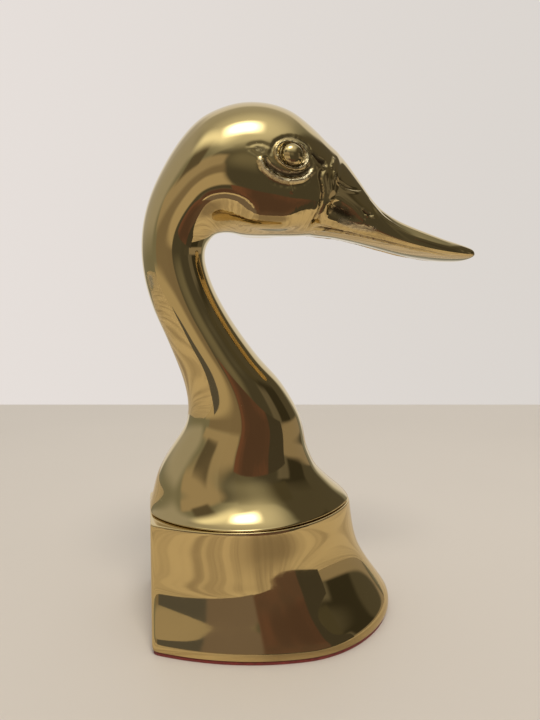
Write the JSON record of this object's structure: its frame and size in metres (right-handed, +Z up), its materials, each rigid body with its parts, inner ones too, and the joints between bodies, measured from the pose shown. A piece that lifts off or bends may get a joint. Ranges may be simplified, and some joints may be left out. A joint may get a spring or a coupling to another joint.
{
  "type": "duck head bookend",
  "caption": "Polished brass bookend with a duck's head and neck on a moulded base with a flat back and a felt foot.",
  "frame": {"origin": "on the desk under the middle of the base's rounded plan, on the felt's underside", "axes": "+X the way the duck looks, with the flat back for the books at -X; +Y the duck's left; +Z up"},
  "size_m": [0.1271, 0.0854, 0.1866],
  "materials": {
    "cast_brass": "hand polished to a mirror, as cast in the recesses round the eye and bill",
    "base_brass": "hand polished to a mirror",
    "eye_brass": "polished",
    "screw_steel": "zinc plated",
    "plate_steel": "mill finish",
    "red_felt": "wool felt"
  },
  "bodies": {
    "root": {"head_and_neck": "cast_brass", "base_shell": "base_brass", "eye_right": "eye_brass", "eye_left": "eye_brass", "clamp_screws": "screw_steel", "clamp_washers": "screw_steel", "bottom_plate": "plate_steel", "plate_screws": "screw_steel", "felt_pad": "red_felt"}
  },
  "joints": []
}
